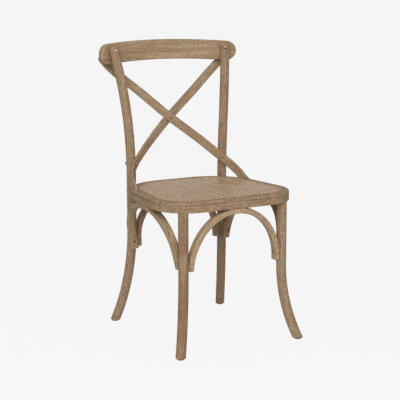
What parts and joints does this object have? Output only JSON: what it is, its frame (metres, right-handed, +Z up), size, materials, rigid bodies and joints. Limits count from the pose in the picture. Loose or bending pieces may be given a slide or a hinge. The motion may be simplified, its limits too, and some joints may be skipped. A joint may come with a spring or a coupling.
{
  "type": "cross-back dining chair",
  "caption": "Bentwood dining chair with a cross back, splayed round legs, arched braces under the seat and a woven rattan seat panel.",
  "frame": {"origin": "floor level, under the middle of the chair's box", "axes": "+Z up, the chair faces -Y, +X is the left-hand side of a person who sits in it"},
  "size_m": [0.48, 0.5163, 0.888],
  "materials": {
    "oak": "weathered driftwood-brown oak, matte",
    "rattan": "woven flat rattan strips, matte",
    "bolt_metal": "aged steel dome heads",
    "screw_metal": "dark blackened screws in recesses",
    "glide": "dark plastic"
  },
  "bodies": {
    "root": {"rear_leg_left": "oak", "rear_leg_right": "oak", "front_leg_left": "oak", "front_leg_right": "oak", "crest_rail": "oak", "cross_slat_front": "oak", "cross_slat_rear": "oak", "seat_rim": "oak", "front_arch": "oak", "left_arch": "oak", "right_arch": "oak", "rear_arch": "oak", "seat_panel": "rattan", "panel_spline": "rattan", "crest_bolts": "bolt_metal", "crest_nuts": "bolt_metal", "slat_bolts": "bolt_metal", "slat_nuts": "bolt_metal", "cross_bolt": "bolt_metal", "cross_nut": "bolt_metal", "seat_bolts": "bolt_metal", "seat_washers": "bolt_metal", "seat_nuts": "bolt_metal", "slat_top_screws": "bolt_metal", "arch_end_screws": "screw_metal", "arch_top_screws": "screw_metal", "leg_glides": "glide"}
  },
  "joints": []
}
